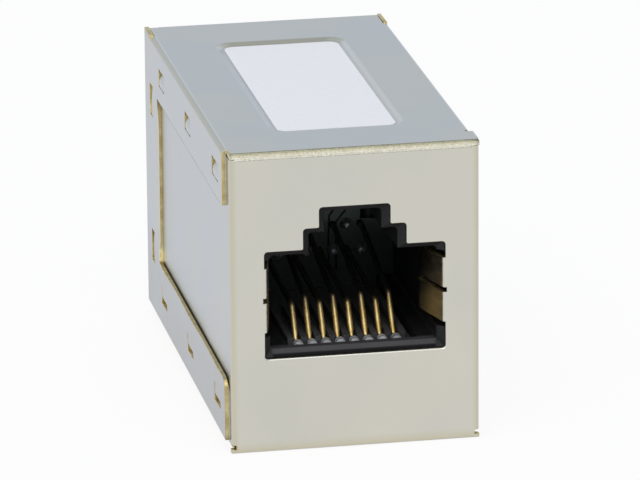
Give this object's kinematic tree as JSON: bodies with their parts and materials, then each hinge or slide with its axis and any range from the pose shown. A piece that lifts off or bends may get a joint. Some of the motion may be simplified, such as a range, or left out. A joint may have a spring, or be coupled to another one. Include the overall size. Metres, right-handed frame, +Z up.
{
  "type": "shielded in-line network coupler",
  "caption": "Box-shaped coupler in a folded metal shield that joins network plugs end to end through a small circuit board.",
  "frame": {"origin": "middle of the bounding box's bottom face, on the underside of the shield", "axes": "+X across the coupler, +Y along the plugs' travel from the front port to the rear port, +Z up from the bottom with the latch slots uppermost"},
  "size_m": [0.0186, 0.0346, 0.0222],
  "materials": {
    "plated_sheet": "satin nickel plate on brass sheet, with bare brass on the cut edges",
    "label_paper": "plain white, matt",
    "housing_plastic": "black moulding with a slight sheen",
    "sled_plastic": "black moulding with a slight sheen",
    "contact_gold": "gold flash on bronze wire",
    "board_laminate": "dark green solder mask"
  },
  "bodies": {
    "root": {"shield": "plated_sheet", "label": "label_paper", "circuit_board": "board_laminate", "front_jack_housing": "housing_plastic", "rear_jack_housing": "housing_plastic", "front_contact_sled": "sled_plastic", "rear_contact_sled": "sled_plastic", "front_contact_1": "contact_gold", "front_contact_2": "contact_gold", "front_contact_3": "contact_gold", "front_contact_4": "contact_gold", "front_contact_5": "contact_gold", "front_contact_6": "contact_gold", "front_contact_7": "contact_gold", "front_contact_8": "contact_gold", "rear_contact_1": "contact_gold", "rear_contact_2": "contact_gold", "rear_contact_3": "contact_gold", "rear_contact_4": "contact_gold", "rear_contact_5": "contact_gold", "rear_contact_6": "contact_gold", "rear_contact_7": "contact_gold", "rear_contact_8": "contact_gold"}
  },
  "joints": []
}
